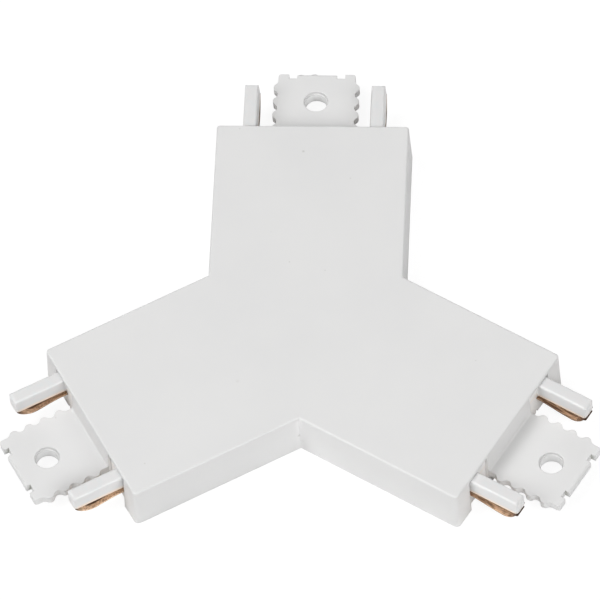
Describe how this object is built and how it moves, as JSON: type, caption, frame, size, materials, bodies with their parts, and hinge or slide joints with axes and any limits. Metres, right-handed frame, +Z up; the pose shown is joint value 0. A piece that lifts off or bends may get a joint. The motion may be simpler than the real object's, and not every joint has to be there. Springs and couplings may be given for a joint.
{
  "type": "track y-connector",
  "caption": "Three-armed connector that joins surface lighting tracks at 120 degrees, with toothed tabs and sprung copper contacts.",
  "frame": {"origin": "centre of the three arms, on the plane of the housing's rim and base plate, which the part rests on", "axes": "+Z up, out of the plain top face; +Y along arm 1; arms 2 and 3 at 120 degrees to it, to the lower left and lower right seen from above"},
  "size_m": [0.1066, 0.0955, 0.0092],
  "materials": {
    "white_plastic": "fine satin moulded plastic",
    "finger_plastic": "glossy, slightly translucent moulded plastic",
    "copper": "bare rolled copper, lightly dulled",
    "steel": "bright zinc plated"
  },
  "bodies": {
    "root": {"cover": "white_plastic", "base_plate": "white_plastic", "finger_1_left": "finger_plastic", "finger_1_right": "finger_plastic", "finger_2_left": "finger_plastic", "finger_2_right": "finger_plastic", "finger_3_left": "finger_plastic", "finger_3_right": "finger_plastic", "contact_1_left": "copper", "contact_1_right": "copper", "contact_2_left": "copper", "contact_2_right": "copper", "contact_3_left": "copper", "contact_3_right": "copper", "upper_bus": "copper", "lower_bus": "copper", "bus_insulator": "finger_plastic", "contact_rivets": "copper", "base_screws": "steel"}
  },
  "joints": []
}
